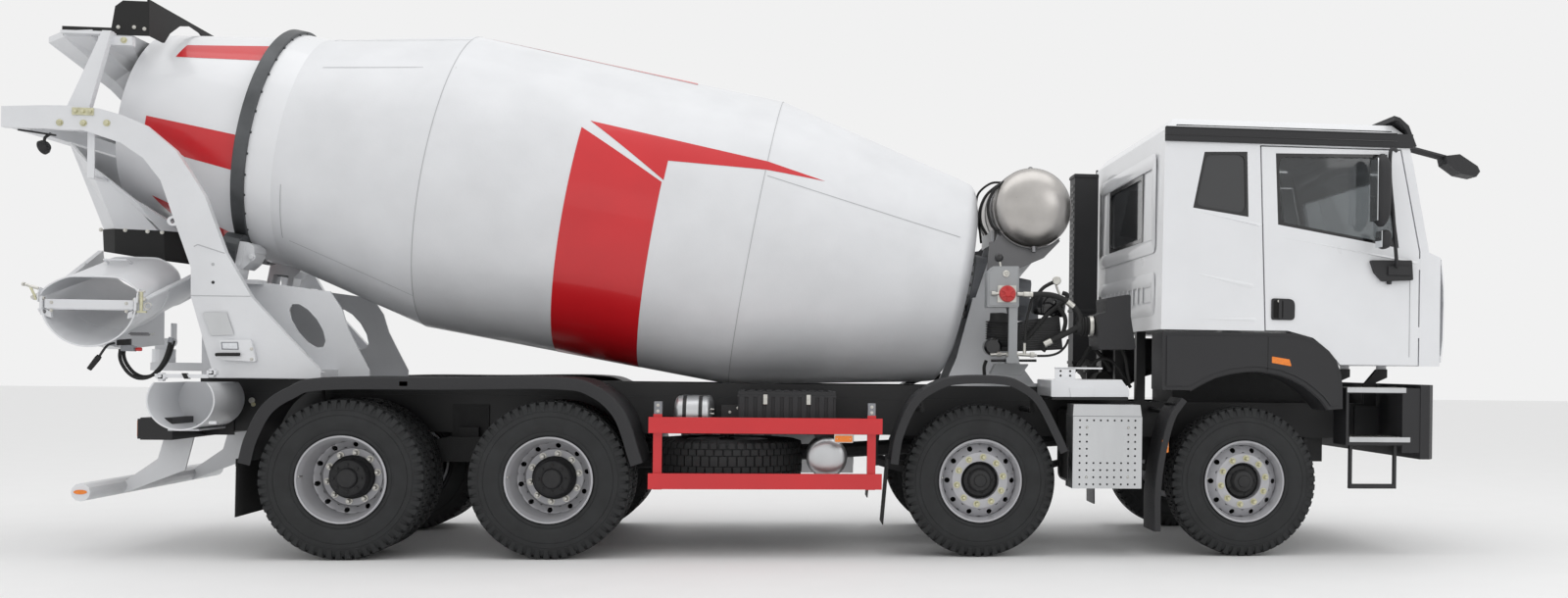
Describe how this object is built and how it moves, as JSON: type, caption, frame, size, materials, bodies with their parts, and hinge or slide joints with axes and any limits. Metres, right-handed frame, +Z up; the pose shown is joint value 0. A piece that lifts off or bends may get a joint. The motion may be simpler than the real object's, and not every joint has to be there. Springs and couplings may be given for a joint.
{
  "type": "concrete mixer truck",
  "caption": "Cab-over concrete mixer truck with steered front axles, twin-tyred rear axles, a tilted rotating drum, charging hopper and a swinging discharge chute.",
  "frame": {"origin": "middle of the bounding box at ground level", "axes": "+X forward, +Y to the truck's left, +Z up"},
  "size_m": [10.35, 3, 3.81],
  "materials": {
    "white_paint": "gloss",
    "red_paint": "gloss",
    "black_paint": "satin",
    "cast_metal": "matte",
    "black_plastic": "matte",
    "bare_steel": "satin",
    "aluminium": "satin",
    "tyre": "matte",
    "glass": "gloss"
  },
  "bodies": {
    "chassis": {"air_intake": "black_paint", "air_tanks": "aluminium", "battery_box": "black_plastic", "bumper": "black_plastic", "charging_hopper": "white_paint", "chassis_frame": "black_paint", "discharge_funnel": "white_paint", "drum_drive": "bare_steel", "engine_driveline": "cast_metal", "exhaust_box": "aluminium", "front_axle_1": "cast_metal", "front_axle_2": "cast_metal", "front_mudguards": "black_paint", "front_pedestal": "white_paint", "fuel_tank": "aluminium", "hopper_frame": "white_paint", "mixer_subframe": "white_paint", "rear_bogie": "cast_metal", "rear_mudguards": "black_paint", "rear_support": "white_paint", "second_mudguards": "black_paint", "side_guard": "red_paint", "spare_chute": "white_paint", "spare_wheel": "tyre", "underride_guard": "white_paint", "water_tank": "aluminium"},
    "cab": {"cab_shell": "white_paint", "windscreen": "glass", "rear_window": "glass", "quarter_window_right": "glass", "quarter_window_left": "glass", "cab_fender_right": "black_plastic", "cab_fender_left": "black_plastic", "sun_visor": "black_plastic", "cab_interior": "black_plastic"},
    "door_right": {"door_right": "white_paint", "door_window_right": "glass", "mirror_right": "black_plastic"},
    "door_left": {"door_left": "white_paint", "door_window_left": "glass", "mirror_left": "black_plastic"},
    "front_panel": {"front_panel": "white_paint"},
    "drum": {"drum": "white_paint"},
    "roller_right": {"roller_right": "bare_steel"},
    "roller_left": {"roller_left": "bare_steel"},
    "chute_arm": {"chute_arm": "bare_steel"},
    "main_chute": {"main_chute": "white_paint"},
    "extension_chute": {"extension_chute": "white_paint"},
    "knuckle_1_right": {"knuckle_1_right": "cast_metal"},
    "knuckle_1_left": {"knuckle_1_left": "cast_metal"},
    "knuckle_2_right": {"knuckle_2_right": "cast_metal"},
    "knuckle_2_left": {"knuckle_2_left": "cast_metal"},
    "wheel_1_right": {"wheel_1_right": "tyre"},
    "wheel_1_left": {"wheel_1_left": "tyre"},
    "wheel_2_right": {"wheel_2_right": "tyre"},
    "wheel_2_left": {"wheel_2_left": "tyre"},
    "wheel_3_right": {"wheel_3_right": "tyre"},
    "wheel_3_left": {"wheel_3_left": "tyre"},
    "wheel_4_right": {"wheel_4_right": "tyre"},
    "wheel_4_left": {"wheel_4_left": "tyre"}
  },
  "joints": [
    {"name": "cab_tilt", "type": "hinge", "parent": "chassis", "child": "cab", "pos_m": [4.705, 0, 1.33], "axis": [0, 1, 0], "range_deg": [0, 50]},
    {"name": "door_right_swing", "type": "hinge", "parent": "cab", "child": "door_right", "pos_m": [4.649, -1.225, 2], "axis": [0, 0, 1], "range_deg": [0, 70]},
    {"name": "door_left_swing", "type": "hinge", "parent": "cab", "child": "door_left", "pos_m": [4.649, 1.225, 2], "axis": [0, 0, -1], "range_deg": [0, 70]},
    {"name": "front_panel_lift", "type": "hinge", "parent": "cab", "child": "front_panel", "pos_m": [4.837, 0, 2.18], "axis": [0, -1, 0], "range_deg": [0, 60]},
    {"name": "drum_spin", "type": "hinge", "parent": "chassis", "child": "drum", "pos_m": [1.332, 0, 2.007], "axis": [-0.9839, 0, 0.1788], "continuous": true},
    {"name": "roller_right_spin", "type": "hinge", "parent": "chassis", "child": "roller_right", "pos_m": [-3.81116, -0.57564, 2.1061], "axis": [-0.9839, 0, 0.1788], "continuous": true},
    {"name": "roller_left_spin", "type": "hinge", "parent": "chassis", "child": "roller_left", "pos_m": [-3.81116, 0.57564, 2.1061], "axis": [-0.9839, 0, 0.1788], "continuous": true},
    {"name": "steer_1_right", "type": "hinge", "parent": "chassis", "child": "knuckle_1_right", "pos_m": [3.375, -0.85, 0.542], "axis": [0, 0, 1], "range_deg": [-35, 35]},
    {"name": "steer_1_left", "type": "hinge", "parent": "chassis", "child": "knuckle_1_left", "pos_m": [3.375, 0.85, 0.542], "axis": [0, 0, 1], "range_deg": [-35, 35]},
    {"name": "steer_2_right", "type": "hinge", "parent": "chassis", "child": "knuckle_2_right", "pos_m": [1.445, -0.85, 0.542], "axis": [0, 0, 1], "range_deg": [-24.5, 24.5]},
    {"name": "steer_2_left", "type": "hinge", "parent": "chassis", "child": "knuckle_2_left", "pos_m": [1.445, 0.85, 0.542], "axis": [0, 0, 1], "range_deg": [-24.5, 24.5]},
    {"name": "spin_1_right", "type": "hinge", "parent": "knuckle_1_right", "child": "wheel_1_right", "pos_m": [3.375, -1.025, 0.542], "axis": [0, 1, 0], "continuous": true},
    {"name": "spin_1_left", "type": "hinge", "parent": "knuckle_1_left", "child": "wheel_1_left", "pos_m": [3.375, 1.025, 0.542], "axis": [0, 1, 0], "continuous": true},
    {"name": "spin_2_right", "type": "hinge", "parent": "knuckle_2_right", "child": "wheel_2_right", "pos_m": [1.445, -1.025, 0.542], "axis": [0, 1, 0], "continuous": true},
    {"name": "spin_2_left", "type": "hinge", "parent": "knuckle_2_left", "child": "wheel_2_left", "pos_m": [1.445, 1.025, 0.542], "axis": [0, 1, 0], "continuous": true},
    {"name": "spin_3_right", "type": "hinge", "parent": "chassis", "child": "wheel_3_right", "pos_m": [-1.53, -0.93, 0.542], "axis": [0, 1, 0], "continuous": true},
    {"name": "spin_3_left", "type": "hinge", "parent": "chassis", "child": "wheel_3_left", "pos_m": [-1.53, 0.93, 0.542], "axis": [0, 1, 0], "continuous": true},
    {"name": "spin_4_right", "type": "hinge", "parent": "chassis", "child": "wheel_4_right", "pos_m": [-2.885, -0.93, 0.542], "axis": [0, 1, 0], "continuous": true},
    {"name": "spin_4_left", "type": "hinge", "parent": "chassis", "child": "wheel_4_left", "pos_m": [-2.885, 0.93, 0.542], "axis": [0, 1, 0], "continuous": true},
    {"name": "chute_swivel", "type": "hinge", "parent": "chassis", "child": "chute_arm", "pos_m": [-4.495, 0, 1.35], "axis": [0, 0, -1], "range_deg": [0, 180]},
    {"name": "chute_lift", "type": "hinge", "parent": "chute_arm", "child": "main_chute", "pos_m": [-4.495, 0, 1.465], "axis": [-1, 0, 0], "range_deg": [-22, 0]},
    {"name": "chute_extension_fold", "type": "hinge", "parent": "main_chute", "child": "extension_chute", "pos_m": [-4.495, -1.203, 1.726], "axis": [1, 0, 0], "range_deg": [0, 160]}
  ],
  "couplings": [
    {"joint": "roller_right_spin", "follows": "drum_spin", "ratio": -7.024},
    {"joint": "roller_left_spin", "follows": "drum_spin", "ratio": -7.024},
    {"joint": "steer_1_left", "follows": "steer_1_right", "ratio": 1},
    {"joint": "steer_2_right", "follows": "steer_1_right", "ratio": 0.7},
    {"joint": "steer_2_left", "follows": "steer_1_right", "ratio": 0.7}
  ]
}
